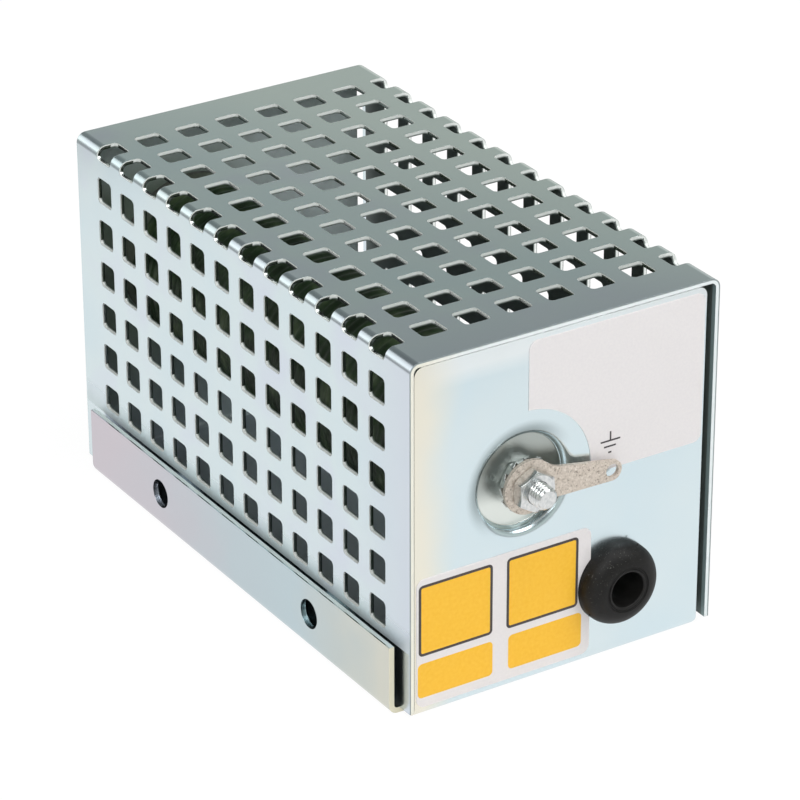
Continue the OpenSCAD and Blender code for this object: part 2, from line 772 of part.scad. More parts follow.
// Crimped rings on the ends of the leads
module lead_eye(side) {
    at_lug(side) translate([lug_hole_r, 0, lug_t / 2]) mirror([0, side > 0 ? 1 : 0, 0]) difference() {
        union() {
            cylinder(d = eye_d, h = eye_t);
            translate([-eye_barrel_d / 4, 0, 0]) cube([eye_barrel_d / 2, eye_barrel_y + eye_t, eye_t]);
            translate([0, eye_barrel_y, eye_barrel_d / 2]) rotate([-90, 0, 0])
                cylinder(d = eye_barrel_d, h = eye_barrel_l);
        }
        translate([0, eye_barrel_y + eye_t, eye_barrel_d / 2]) rotate([-90, 0, 0])
            cylinder(r = lead_d / 2 + lead_fit, h = eye_barrel_l);
        translate([0, 0, -cut]) cylinder(r = lug_screw_d / 2 + screw_fit, h = eye_t + 2 * cut);
    }
}

module lead_eyes() {
    color("silver") for (side = [-1, 1]) lead_eye(side);
}

module lug_screws() {
    l = eye_t + lug_t + lug_nut_h + lug_screw_out;
    color("silver") for (side = [-1, 1])
        at_lug(side) translate([lug_hole_r, 0, lug_t / 2 + eye_t])
            pan_screw(lug_screw_d, l, eye_d * 0.9, lug_screw_d * 0.6);
}

module lug_nuts() {
    color("silver") for (side = [-1, 1])
        at_lug(side) translate([lug_hole_r, 0, -lug_t / 2 - lug_nut_h])
            hex_nut(lug_nut_af, lug_nut_h, lug_screw_d + 2 * rod_fit);
}

// Glass-sleeved leads from the lugs to the terminal block
module lead(route) {
    path = curve(route);
    polyhedron(tube_points(path, lead_d / 2, lead_sides), tube_faces(len(path), lead_sides));
}

module front_lead() {
    color("white") lead(front_lead_route);
}

module rear_lead() {
    color("white") lead(rear_lead_route);
}

// Porcelain terminal block with its brass inserts and screws
module terminal_block() {
    color("ivory") translate([block_x, block_y, chassis_t]) difference() {
        linear_extrude(block_h) round_rect(block_w, block_d, block_corner_r);
        for (pole = [-1, 1]) translate([pole * pole_span / 2, 0, 0]) {
            translate([0, 0, pole_z]) rotate([90, 0, 0])
                cylinder(r = insert_d / 2 + insert_fit, h = block_d + 2 * cut, center = true);
            for (y = [-1, 1])
                translate([0, y * clamp_y, pole_z])
                    cylinder(r = clamp_head_d / 2 + screw_fit, h = block_h - pole_z + cut);
        }
        translate([0, 0, -cut]) cylinder(r = block_screw_d / 2 + screw_fit, h = block_h + 2 * cut);
        translate([0, 0, block_seat_h])
            cylinder(r = block_head_d / 2 + screw_fit, h = block_h - block_seat_h + cut);
    }
}

module insert(pole) {
    color("goldenrod") translate([block_x + pole * pole_span / 2, block_y, pole_axis_z]) difference() {
        rotate([90, 0, 0]) cylinder(d = insert_d, h = insert_l, center = true);
        rotate([90, 0, 0]) cylinder(d = insert_bore_d, h = insert_l + 2 * cut, center = true);
        for (y = [-1, 1])
            translate([0, y * clamp_y, 0]) cylinder(r = clamp_d / 2 + screw_fit, h = insert_d);
    }
}

module left_insert() {
    insert(-1);
}

module right_insert() {
    insert(1);
}

module terminal_screws() {
    tip_z = lead_d / 2 + screw_fit;
    seat_z = insert_d / 2 + screw_fit;
    color("silver") for (pole = [-1, 1], y = [-1, 1])
        translate([block_x + pole * pole_span / 2, block_y + y * clamp_y, pole_axis_z + seat_z])
            pan_screw(clamp_d, seat_z - tip_z, clamp_head_d, clamp_head_h);
}

module block_screw() {
    color("silver") translate([block_x, block_y, chassis_t + block_seat_h])
        pan_screw(block_screw_d, block_seat_h + chassis_t - screw_fit, block_head_d, block_screw_d * 0.7);
}

// Screws that fix the cover's right wall to the right flange
module cover_screws() {
    color("silver") for (y = fixing_y)
        translate([cover_w / 2, y, fixing_z]) rotate([0, 90, 0])
            pan_screw(cover_screw_d, cover_screw_l, cover_head_d, cover_head_h);
}

// Bare white labels on the front plate
module on_plate() {
    translate([0, front_y, 0]) rotate([90, 0, 0]) linear_extrude(label_t) children();
}

module rating_label() {
    w = plate_right - label_inset - upper_label_left;
    top = plate_top - upper_label_drop;
    color("whitesmoke") on_plate() difference() {
        translate([upper_label_left + w / 2, top - upper_label_h / 2])
            round_rect(w, upper_label_h, label_corner_r);
        translate([rod_x, rod_z]) circle(upper_label_arc_r);
    }
}

module lower_label() {
    color("whitesmoke") on_plate() difference() {
        translate([plate_left + label_inset + lower_label_w / 2, lower_label_z + lower_label_h / 2])
            round_rect(lower_label_w, lower_label_h, label_corner_r);
        translate([grommet_x, grommet_z]) circle(grommet_d / 2 + label_fit);
    }
}

chassis();
perforated_cover();
heating_element();
front_mica_washer();
rear_mica_washer();
tie_rod();
thin_nut();
front_tooth_washer();
earth_tag();
earth_nut();
rear_tooth_washer();
rear_nut();
grommet();
front_lug();
rear_lug();
lead_eyes();
lug_screws();
lug_nuts();
front_lead();
rear_lead();
terminal_block();
left_insert();
right_insert();
terminal_screws();
block_screw();
cover_screws();
rating_label();
lower_label();
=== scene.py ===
import math
import bpy
from mathutils import Matrix, Vector


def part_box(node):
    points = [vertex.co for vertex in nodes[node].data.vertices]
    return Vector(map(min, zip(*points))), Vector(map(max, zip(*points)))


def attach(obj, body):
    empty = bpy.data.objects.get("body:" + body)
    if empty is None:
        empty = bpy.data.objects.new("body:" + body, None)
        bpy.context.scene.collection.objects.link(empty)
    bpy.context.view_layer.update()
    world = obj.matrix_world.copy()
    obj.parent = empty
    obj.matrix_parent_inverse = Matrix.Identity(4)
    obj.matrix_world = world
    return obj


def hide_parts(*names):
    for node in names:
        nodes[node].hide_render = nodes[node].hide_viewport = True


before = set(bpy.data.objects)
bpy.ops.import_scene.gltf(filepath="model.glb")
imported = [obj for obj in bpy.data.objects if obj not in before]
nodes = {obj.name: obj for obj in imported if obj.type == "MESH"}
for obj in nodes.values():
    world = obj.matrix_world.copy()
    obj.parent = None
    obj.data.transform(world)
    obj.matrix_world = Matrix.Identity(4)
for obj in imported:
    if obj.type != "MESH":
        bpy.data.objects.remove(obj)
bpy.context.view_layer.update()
MM = 0.001


# Chassis: floor, end plates and side flanges folded from one sheet of steel, with a dish pressed into
# each end plate. Its bright zinc drifts to cream at the front left and to lavender along the flange,
# where it is also painted darker as shade. The dishes have painted shade on their upper lips, and the
# front dish a painted reflection on its floor. Sheared edges are matt. Heat has dulled the inside, which
# is also painted darker as shade and lighter toward the floor, and painted light brightens the rear
# wall's inside toward its right and top.
def linear(hex_code):
    parts = [int(hex_code[i:i + 2], 16) / 255 for i in (1, 3, 5)]
    return tuple(c / 12.92 if c <= 0.04045 else ((c + 0.055) / 1.055) ** 2.4 for c in parts) + (1.0,)


def plug(node, links):
    for socket, value in links.items():
        if isinstance(value, bpy.types.Node):
            value = next(output for output in value.outputs if output.enabled)
        if isinstance(value, bpy.types.NodeSocket):
            node.id_data.links.new(value, node.inputs[socket])
        else:
            node.inputs[socket].default_value = value


def add(tree, kind, links=None, stops=(), **settings):
    node = tree.nodes.new(kind)
    for name, value in settings.items():
        setattr(node, name, value)
    for index, (place, colour) in enumerate(stops):
        points = node.color_ramp.elements
        point = points[index] if index < len(points) else points.new(place)
        point.position = place
        point.color = linear(colour)
    plug(node, links or {})
    return node


def new_material(name, **values):
    material = bpy.data.materials.new(name)
    material.use_nodes = True
    tree = material.node_tree
    shader = tree.nodes["Principled BSDF"]
    plug(shader, {socket.replace("_", " "): value for socket, value in values.items()})
    place = add(tree, "ShaderNodeTexCoord").outputs["Object"]
    return material, tree, shader, place


def wear(node_name, material):
    slots = nodes[node_name].data.materials
    slots.clear()
    slots.append(material)


def within(tree, place, low, high):
    axes = add(tree, "ShaderNodeSeparateXYZ", {0: place})
    product = 1.0
    for axis in range(3):
        middle = (low[axis] + high[axis]) / 2 * MM
        half = (high[axis] - low[axis]) / 2 * MM
        test = add(tree, "ShaderNodeMath", {0: axes.outputs[axis], 1: middle, 2: half}, operation="COMPARE")
        product = add(tree, "ShaderNodeMath", {0: test, 1: product}, operation="MULTIPLY")
    return product


BRIGHT_ROUGH = (0.19, 0.27)
DULL_ROUGH, DULL_METAL = 0.5, 0.45
MATT_ROUGH, MATT_METAL = 0.45, 0.1
CLOUD_SIZE = 9 * MM
ROLL_LINE = 0.4 * MM
ROLL_DEPTH = 0.03 * MM


# Inside, the colour turns to the given tint, which holds heat dulling together with painted shade and light.
def zinc_surface(tree, shader, place, colour, dull, dull_and_painted_tint, matt, edge_mm):
    dark = add(tree, "ShaderNodeMix", {0: dull, 6: colour, 7: dull_and_painted_tint}, data_type="RGBA")
    cloud = add(tree, "ShaderNodeTexNoise", {"Vector": place, "Scale": 1 / CLOUD_SIZE, "Detail": 3.0})
    rough = add(tree, "ShaderNodeMapRange", {"Value": cloud, "To Min": BRIGHT_ROUGH[0],
                                             "To Max": BRIGHT_ROUGH[1]})
    rough = add(tree, "ShaderNodeMix", {0: dull, 2: rough, 3: DULL_ROUGH}, data_type="FLOAT")
    rough = add(tree, "ShaderNodeMix", {0: matt, 2: rough, 3: MATT_ROUGH}, data_type="FLOAT")
    metal = add(tree, "ShaderNodeMapRange", {"Value": dull, "To Min": 1.0, "To Max": DULL_METAL})
    metal = add(tree, "ShaderNodeMix", {0: matt, 2: metal, 3: MATT_METAL}, data_type="FLOAT")
    rolled = add(tree, "ShaderNodeMapping", {"Vector": place, "Scale": (1.0, 0.04, 1.0)})
    lines = add(tree, "ShaderNodeTexNoise", {"Vector": rolled, "Scale": 1 / ROLL_LINE, "Detail": 2.0})
    round_edge = add(tree, "ShaderNodeBevel", {"Radius": edge_mm * MM}, samples=8)
    bump = add(tree, "ShaderNodeBump", {"Height": lines, "Strength": 0.03, "Distance": ROLL_DEPTH,
                                        "Normal": round_edge})
    plug(shader, {"Base Color": dark, "Roughness": rough, "Metallic": metal, "Normal": bump})
    return rough


rod_low, rod_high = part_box("tie_rod")
rod_mid = (rod_low + rod_high) / 2
INNER_X, INNER_Y = 36.2, 65.85
FLOOR_TOP, INNER_TOP = 1.15, 79.0
REAR_WALL_Y = 64.0
FLANGE_H = 15.5
FLANGE_END_Y = -63.1
FLANGE_TOP_X = (-39.1, -37.9)
PAST_END = 70
DISH_FLOOR_R = 10.2
DISH_EDGE_R = 12.3
DISH_Y = 64.55
DISH_FLOOR_LOW = (-20.3, -64.75, 35.8)
DISH_FLOOR_HIGH = (0.3, -64.5, 56.6)
CHASSIS_EDGE = 0.12
SATIN_ROUGH = 0.36


chassis_zinc, tree, shader, place = new_material("bright zinc plate on the chassis")
axes = add(tree, "ShaderNodeSeparateXYZ", {0: place})
drift = add(tree, "ShaderNodeTexNoise", {"Vector": place, "Scale": 1 / (18 * MM), "Detail": 2.0})
wander = add(tree, "ShaderNodeMath", {0: drift, 1: 8 * MM, 2: axes.outputs["X"]}, operation="MULTIPLY_ADD")
left_edge = add(tree, "ShaderNodeMapRange", {"Value": wander, "From Min": -32 * MM, "From Max": -21 * MM,
                                             "To Min": 1.0, "To Max": 0.0}, interpolation_type="SMOOTHSTEP")
front_end = add(tree, "ShaderNodeMapRange", {"Value": axes.outputs["Y"], "From Min": -62.5 * MM,
                                             "From Max": -55 * MM, "To Min": 1.0, "To Max": 0.0})
cream = add(tree, "ShaderNodeMath", {0: left_edge, 1: front_end}, operation="MULTIPLY")
plate_tint = add(tree, "ShaderNodeValToRGB", {0: drift}, [(0.3, "#D5E5EB"), (0.7, "#DBE8EC")])
upper_edge = add(tree, "ShaderNodeMapRange", {"Value": axes.outputs["Z"], "From Min": 72 * MM,
                                              "From Max": 75.5 * MM, "To Min": 0.0, "To Max": 0.8})
plate_tint = add(tree, "ShaderNodeMix", {0: upper_edge, 6: plate_tint, 7: linear("#EEF3F4")},
                 data_type="RGBA")
plate_tint = add(tree, "ShaderNodeMix", {0: cream, 6: plate_tint, 7: linear("#EDE9DA")}, data_type="RGBA")
# The flange's zinc drifts from cream at the front to lavender at the rear, and is also painted darker than
# the plate as shade.
along = add(tree, "ShaderNodeMath", {0: drift, 1: 30 * MM, 2: axes.outputs["Y"]}, operation="MULTIPLY_ADD")
along = add(tree, "ShaderNodeMapRange", {"Value": along, "From Min": -52 * MM, "From Max": 82 * MM})
flange_tint_and_shade = add(tree, "ShaderNodeValToRGB", {0: along}, [
    (0.07, "#D2D2C7"), (0.17, "#C3CBC9"), (0.3, "#BCCCD2"),
    (0.5, "#BCC9CF"), (0.65, "#C3C4CB"), (0.9, "#CAC3CA")])
on_flange = add(tree, "ShaderNodeMath", {0: axes.outputs["X"], 1: -37.5 * MM}, operation="LESS_THAN")
colour = add(tree, "ShaderNodeMix", {0: on_flange, 6: plate_tint, 7: flange_tint_and_shade}, data_type="RGBA")
case_inside = within(tree, place, (-INNER_X, -INNER_Y, FLOOR_TOP), (INNER_X, INNER_Y, INNER_TOP))
off_rod = add(tree, "ShaderNodeVectorMath", {0: place, 1: tuple(rod_mid)}, operation="SUBTRACT")
from_rod = add(tree, "ShaderNodeVectorMath", {0: off_rod, 1: (1.0, 0.0, 1.0)}, operation="MULTIPLY")
from_rod = add(tree, "ShaderNodeVectorMath", {0: from_rod}, operation="LENGTH").outputs["Value"]
in_dish = add(tree, "ShaderNodeMath", {0: from_rod, 1: DISH_EDGE_R * MM}, operation="LESS_THAN")
depth = add(tree, "ShaderNodeMath", {0: axes.outputs["Y"]}, operation="ABSOLUTE")
at_end = add(tree, "ShaderNodeMath", {0: depth, 1: DISH_Y * MM}, operation="GREATER_THAN")
dish_face = add(tree, "ShaderNodeMath", {0: in_dish, 1: at_end}, operation="MULTIPLY")
dull = add(tree, "ShaderNodeMath", {0: case_inside, 1: dish_face}, operation="SUBTRACT", use_clamp=True)
# Painted shade: a soft dark ring on the dish's lip, strongest on its upper left.
upper_left = add(tree, "ShaderNodeVectorMath", {0: off_rod, 1: (-0.65, 0.0, 0.76)},
                 operation="DOT_PRODUCT")
upper_left = add(tree, "ShaderNodeMapRange", {"Value": upper_left.outputs["Value"], "From Min": -4 * MM,
                                              "From Max": 9 * MM}, interpolation_type="SMOOTHSTEP")
painted_lip_shade = add(tree, "ShaderNodeMapRange", {"Value": from_rod, "From Min": 11.4 * MM, "From Max": 14.2 * MM,
                                         "To Min": 0.62, "To Max": 0.0}, interpolation_type="SMOOTHSTEP")
painted_lip_shade = add(tree, "ShaderNodeMath", {0: painted_lip_shade, 1: upper_left}, operation="MULTIPLY")
# Painted reflection: the front dish's floor is dark grey on its upper half and light below.
dish_floor = within(tree, place, DISH_FLOOR_LOW, DISH_FLOOR_HIGH)
upper_half = add(tree, "ShaderNodeMapRange", {"Value": axes.outputs["Z"], "From Min": 41.5 * MM,
                                              "From Max": 46.5 * MM, "To Min": 0.0, "To Max": 0.5},
                 interpolation_type="SMOOTHSTEP")
painted_dish_reflection = add(tree, "ShaderNodeMix", {0: upper_half, 6: linear("#E6EBE6"), 7: linear("#6B7877")},
             data_type="RGBA")
colour = add(tree, "ShaderNodeMix", {0: dish_floor, 6: colour, 7: painted_dish_reflection}, data_type="RGBA")
on_lip = add(tree, "ShaderNodeMath", {0: from_rod, 1: DISH_FLOOR_R * MM}, operation="GREATER_THAN")
painted_lip_shade = add(tree, "ShaderNodeMath", {0: painted_lip_shade, 1: on_lip}, operation="MULTIPLY")
colour = add(tree, "ShaderNodeMix", {0: painted_lip_shade, 6: colour, 7: linear("#56625F")}, data_type="RGBA")
flange_top = within(tree, place, (FLANGE_TOP_X[0], -PAST_END, FLANGE_H - 0.05),
                    (FLANGE_TOP_X[1], PAST_END, FLANGE_H + 0.1))
flange_end = within(tree, place, (-39.6, FLANGE_END_Y - 0.05, -1),
                    (-35.9, FLANGE_END_Y + 0.05, FLANGE_H + 0.1))
colour = add(tree, "ShaderNodeMix", {0: flange_top, 6: colour, 7: linear("#DCE8E8")}, data_type="RGBA")
sheared = add(tree, "ShaderNodeMath", {0: flange_top, 1: flange_end}, operation="MAXIMUM")
colour = add(tree, "ShaderNodeMix", {0: flange_end, 6: colour, 7: linear("#EDE7CF")}, data_type="RGBA")
# The inside's tint is heat dulling and also painted shade, lighter toward the floor. Painted light brightens
# the rear wall toward its right and its top, and that patch is matt.
rise = add(tree, "ShaderNodeMapRange", {"Value": axes.outputs["Z"], "From Min": 2 * MM, "From Max": 30 * MM})
heat_dull_and_painted_light = add(tree, "ShaderNodeMix", {0: rise, 6: linear("#B9C4CB"), 7: linear("#98A89B")}, data_type="RGBA")
toward_right = add(tree, "ShaderNodeMapRange", {"Value": axes.outputs["X"], "From Min": -14 * MM,
                                                "From Max": 8 * MM})
toward_top = add(tree, "ShaderNodeMapRange", {"Value": axes.outputs["Z"], "From Min": 62 * MM,
                                              "From Max": 74 * MM})
toward_painted_light = add(tree, "ShaderNodeMath", {0: toward_right, 1: toward_top}, operation="MAXIMUM")
rear_inside = within(tree, place, (-INNER_X, REAR_WALL_Y, FLOOR_TOP), (INNER_X, INNER_Y, INNER_TOP))
painted_light_rear = add(tree, "ShaderNodeMath", {0: rear_inside, 1: toward_painted_light}, operation="MULTIPLY")
heat_dull_and_painted_light = add(tree, "ShaderNodeMix", {0: painted_light_rear, 6: heat_dull_and_painted_light, 7: linear("#EAF7F8")}, data_type="RGBA")
matt = add(tree, "ShaderNodeMath", {0: sheared, 1: painted_light_rear}, operation="MAXIMUM")
rough = zinc_surface(tree, shader, place, colour, dull, heat_dull_and_painted_light, matt, CHASSIS_EDGE)
satin = add(tree, "ShaderNodeMix", {0: dish_floor, 2: rough, 3: SATIN_ROUGH}, data_type="FLOAT")
plug(shader, {"Roughness": satin})
wear("chassis", chassis_zinc)


# Grommet: moulded black rubber, pushed into the front plate's hole. It is matt, with pale dust on its
# upper left, and three small nibs of flash are left from the mould.
rubber, tree, shader, place = new_material("moulded black rubber", Roughness=0.5, Specular_IOR_Level=0.25)
skin = add(tree, "ShaderNodeTexNoise", {"Vector": place, "Scale": 1 / (1.6 * MM), "Detail": 4.0})
colour = add(tree, "ShaderNodeValToRGB", {0: skin}, [(0.3, "#0E0D0D"), (0.7, "#181716")])
dust = add(tree, "ShaderNodeTexNoise", {"Vector": place, "Scale": 1 / (0.3 * MM), "Detail": 3.0,
                                        "Roughness": 0.7})
specks = add(tree, "ShaderNodeMapRange", {"Value": dust, "From Min": 0.64, "From Max": 0.72})
grommet_low, grommet_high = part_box("grommet")
grommet_mid = (grommet_low + grommet_high) / 2
over = add(tree, "ShaderNodeVectorMath", {0: place, 1: tuple(grommet_mid)}, operation="SUBTRACT")
over = add(tree, "ShaderNodeVectorMath", {0: over, 1: (-0.5, -0.3, 0.8)}, operation="DOT_PRODUCT")
over = over.outputs["Value"]
upper = add(tree, "ShaderNodeMapRange", {"Value": over, "From Min": 2 * MM, "From Max": 8 * MM})
dusty = add(tree, "ShaderNodeMath", {0: specks, 1: upper}, operation="MULTIPLY")
colour = add(tree, "ShaderNodeMix", {0: dusty, 6: colour, 7: linear("#8D8A85")}, data_type="RGBA")
bump = add(tree, "ShaderNodeBump", {"Height": skin, "Strength": 0.35, "Distance": 0.15 * MM})
plug(shader, {"Base Color": colour, "Normal": bump})
wear("grommet", rubber)

NIB_R = 0.35 * MM
NIB_STRETCH = (1.5, 0.7, 0.6)
NIB_TAPER = 0.45
NIB_Y = -69.0 * MM
for name, turn, reach in (("flash_nib_top", 62, 8.85), ("flash_nib_left", 150, 8.9),
                          ("flash_nib_low", 214, 8.8)):
    bpy.ops.object.select_all(action="DESELECT")
    bpy.ops.mesh.primitive_ico_sphere_add(subdivisions=2, radius=NIB_R)
    nib = bpy.context.object
    nib.name = name
    bpy.ops.object.mode_set(mode="EDIT")
    bpy.ops.transform.resize(value=NIB_STRETCH)
    bpy.ops.object.mode_set(mode="OBJECT")
    for vertex in nib.data.vertices:
        taper = 1 - NIB_TAPER * max(0.0, vertex.co.x / (0.5 * MM))
        vertex.co.y *= taper
        vertex.co.z *= taper
    angle = math.radians(turn)
    outward = Vector((math.cos(angle), 0, math.sin(angle)))
    nib.data.transform(Matrix.Rotation(-angle, 4, "Y"))
    spot = Vector((grommet_mid.x, NIB_Y, grommet_mid.z)) + outward * reach * MM
    nib.data.transform(Matrix.Translation(spot))
    bpy.ops.object.shade_smooth()
    nib.data.materials.append(rubber)
    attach(nib, "root")


# Terminal block: glazed porcelain, screwed to the floor, with turned brass inserts pushed into it.
# Small screws clamp the leads in the inserts.
porcelain, tree, shader, place = new_material("glazed porcelain", Roughness=0.18)
glaze = add(tree, "ShaderNodeTexNoise", {"Vector": place, "Scale": 1 / (1.5 * MM), "Detail": 3.0})
colour = add(tree, "ShaderNodeValToRGB", {0: glaze}, [(0.3, "#D9D4C8"), (0.7, "#E6E2D8")])
plug(shader, {"Base Color": colour})
wear("terminal_block", porcelain)
brass, tree, shader, place = new_material("turned brass", Metallic=1.0, Roughness=0.3)
rings = add(tree, "ShaderNodeTexWave", {"Vector": place, "Scale": math.pi / (10 * 0.3 * MM)},
            bands_direction="Y")
colour = add(tree, "ShaderNodeValToRGB", {0: rings}, [(0.2, "#B8924A"), (0.8, "#D2AE66")])
plug(shader, {"Base Color": colour})
wear("left_insert", brass)
wear("right_insert", brass)


# Heater tube: a ceramic core wound with resistance wire under dark green vitreous enamel. The glassy
# coat follows the turns of the wire in low ridges, and the core's ends stay bare.
tube_low, tube_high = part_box("heating_element")
tube_mid = (tube_low + tube_high) / 2
COAT_R = (tube_high.x - tube_low.x) / 2
CORE_R = COAT_R - 1.0 * MM
BORE_R = 11.8 * MM
BARE = 5.0 * MM
TURN = 2.4 * MM
RIDGE = 0.25 * MM
COAT_ROOT = 0.3 * MM
SHOULDER, SHOULDER_L = 0.7 * MM, 1.5 * MM
TOUCH = 1e-6
CORE_STEPS, COAT_STEPS = 72, 80
COAT_CUTS = (17, 17)


def turned_ring(name, inner, outer, y0, y1, steps):
    bpy.ops.object.select_all(action="DESELECT")
    bpy.ops.mesh.primitive_plane_add(size=1.0)
    piece = bpy.context.object
    piece.name = name
    bpy.ops.object.mode_set(mode="EDIT")
    bpy.ops.transform.resize(value=(outer - inner, y1 - y0, 1.0))
    bpy.ops.transform.translate(value=(tube_mid.x + (inner + outer) / 2, (y0 + y1) / 2, tube_mid.z))
    bpy.ops.mesh.delete(type="ONLY_FACE")
    bpy.ops.mesh.select_all(action="SELECT")
    bpy.ops.mesh.spin(steps=steps, angle=2 * math.pi, center=tuple(tube_mid), axis=(0, 1, 0))
    bpy.ops.mesh.select_all(action="SELECT")
    bpy.ops.mesh.remove_doubles(threshold=TOUCH)
    bpy.ops.mesh.normals_make_consistent(inside=False)
    bpy.ops.object.mode_set(mode="OBJECT")
    return piece


def split_lengthwise(piece, y0, y1, cuts):
    mesh = piece.data
    bpy.ops.object.mode_set(mode="EDIT")
    bpy.ops.mesh.select_mode(type="EDGE")
    for count in cuts:
        bpy.ops.mesh.select_all(action="DESELECT")
        bpy.ops.object.mode_set(mode="OBJECT")
        for edge in mesh.edges:
            a, b = (mesh.vertices[i].co for i in edge.vertices)
            inside = min(a.y, b.y) > y0 - TOUCH and max(a.y, b.y) < y1 + TOUCH
            edge.select = inside and abs(a.y - b.y) > 1e-5
        bpy.ops.object.mode_set(mode="EDIT")
        bpy.ops.mesh.subdivide(number_cuts=count)
    bpy.ops.object.mode_set(mode="OBJECT")


core = turned_ring("ceramic_core", BORE_R, CORE_R, tube_low.y, tube_high.y, CORE_STEPS)
bpy.ops.object.shade_smooth_by_angle(angle=math.radians(30))
ceramic, tree, shader, place = new_material("fired steatite", Roughness=0.6)
grain = add(tree, "ShaderNodeTexNoise", {"Vector": place, "Scale": 1 / (0.8 * MM), "Detail": 4.0})
colour = add(tree, "ShaderNodeValToRGB", {0: grain}, [(0.3, "#636A5D"), (0.7, "#757C6E")])
plug(shader, {"Base Color": colour})
core.data.materials.append(ceramic)
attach(core, "root")
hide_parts("heating_element")

coat = turned_ring("enamel_coat", CORE_R - COAT_ROOT, COAT_R, tube_low.y + BARE,
                   tube_high.y - BARE, COAT_STEPS)
split_lengthwise(coat, tube_low.y, tube_high.y, COAT_CUTS)
for vertex in coat.data.vertices:
    out = Vector((vertex.co.x - tube_mid.x, 0, vertex.co.z - tube_mid.z))
    if out.length > CORE_R + 0.5 * MM:
        turn = math.atan2(out.x, out.z) / (2 * math.pi)
        ridge = 0.5 + 0.5 * math.cos(2 * math.pi * (vertex.co.y / TURN - turn))
        from_end = min(vertex.co.y - tube_low.y, tube_high.y - vertex.co.y) - BARE
        shoulder = SHOULDER * max(0.0, 1 - from_end / SHOULDER_L) ** 2
        vertex.co -= out.normalized() * (RIDGE * (1 - ridge) + shoulder)
bpy.ops.object.shade_smooth_by_angle(angle=math.radians(40))
enamel, tree, shader, place = new_material("green vitreous enamel", Roughness=0.36)
# The enamel's green wanders at random, and its lightest olive clouds are painted light, standing for patches
# of light falling through the cover's holes.
cloud = add(tree, "ShaderNodeTexNoise", {"Vector": place, "Scale": 1 / (6 * MM), "Detail": 3.0})
colour = add(tree, "ShaderNodeValToRGB", {0: cloud}, [
    (0.35, "#1A2B16"), (0.55, "#2B4225"), (0.72, "#566748")])
plug(shader, {"Base Color": colour})
coat.data.materials.append(enamel)
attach(coat, "root")


# Mica washers: rings punched from split mica sheet, clamped between the ceramic and the end plates.
# They are grey-brown and flaky.
mica, tree, shader, place = new_material("split mica", Roughness=0.45)
flakes = add(tree, "ShaderNodeTexVoronoi", {"Vector": place, "Scale": 1 / (3 * MM)})
colour = add(tree, "ShaderNodeValToRGB", {0: flakes}, [(0.0, "#6E706A"), (0.8, "#54564F")])
plug(shader, {"Base Color": colour})
wear("front_mica_washer", mica)
wear("rear_mica_washer", mica)


# Through rod, nuts, toothed washers and screws: turned and stamped steel with bright zinc. The rod's
# two ends have a rolled M5 thread, and its front end is the earth stud.
hardware, tree, shader, place = new_material("bright zinc on turned steel", Metallic=1.0)
scuff = add(tree, "ShaderNodeTexNoise", {"Vector": place, "Scale": 1 / (0.7 * MM), "Detail": 3.0})
colour = add(tree, "ShaderNodeValToRGB", {0: scuff}, [(0.3, "#CDD0D1"), (0.7, "#E3E4E3")])
rough = add(tree, "ShaderNodeMapRange", {"Value": scuff, "To Min": 0.17, "To Max": 0.3})
round_edge = add(tree, "ShaderNodeBevel", {"Radius": 0.12 * MM}, samples=8)
plug(shader, {"Base Color": colour, "Roughness": rough, "Normal": round_edge})
for name in ("thin_nut", "front_tooth_washer", "earth_nut", "rear_tooth_washer", "rear_nut",
             "lug_screws", "lug_nuts", "terminal_screws", "block_screw", "cover_screws", "lead_eyes"):
    wear(name, hardware)

ROD_R = (rod_high.x - rod_low.x) / 2
PITCH = 0.8 * MM
THREAD_L = 14.0 * MM
THREAD_DEPTH = 0.46 * MM
CHAMFER = 0.6 * MM
ROOT_FLAT, FLANK = 0.15, 0.7
RUN_OUT = 1.2 * MM
ROD_SIDES = 40
THREAD_CUTS = (13, 9)
bpy.ops.object.select_all(action="DESELECT")
bpy.ops.mesh.primitive_cylinder_add(vertices=ROD_SIDES, radius=ROD_R, depth=rod_high.y - rod_low.y,
                                    location=tuple(rod_mid), rotation=(math.pi / 2, 0, 0))
rod = bpy.context.object
rod.name = "threaded_rod"
bpy.ops.object.transform_apply(location=True, rotation=True, scale=True)
bpy.ops.object.mode_set(mode="EDIT")
for y in (rod_low.y + THREAD_L, rod_high.y - THREAD_L):
    bpy.ops.mesh.select_all(action="SELECT")
    bpy.ops.mesh.bisect(plane_co=(0, y, 0), plane_no=(0, 1, 0))
bpy.ops.object.mode_set(mode="OBJECT")
for y0, y1 in ((rod_low.y, rod_low.y + THREAD_L), (rod_high.y - THREAD_L, rod_high.y)):
    split_lengthwise(rod, y0, y1, THREAD_CUTS)
for vertex in rod.data.vertices:
    from_end = min(vertex.co.y - rod_low.y, rod_high.y - vertex.co.y)
    out = Vector((vertex.co.x - rod_mid.x, 0, vertex.co.z - rod_mid.z))
    if from_end < THREAD_L + TOUCH and out.length > 0.1 * MM:
        phase = (vertex.co.y / PITCH - math.atan2(out.x, out.z) / (2 * math.pi)) % 1.0
        flank = min(1.0, max(0.0, (abs(phase - 0.5) * 2 - ROOT_FLAT) / FLANK))
        run_out = min(1.0, (THREAD_L - from_end) / RUN_OUT)
        radius = ROD_R - THREAD_DEPTH * (1 - flank) * run_out
        radius = min(radius, ROD_R - CHAMFER + from_end)
        vertex.co += out.normalized() * (radius - out.length)
bpy.ops.object.shade_smooth_by_angle(angle=math.radians(35))
rod.data.materials.append(hardware)
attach(rod, "root")
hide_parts("tie_rod")


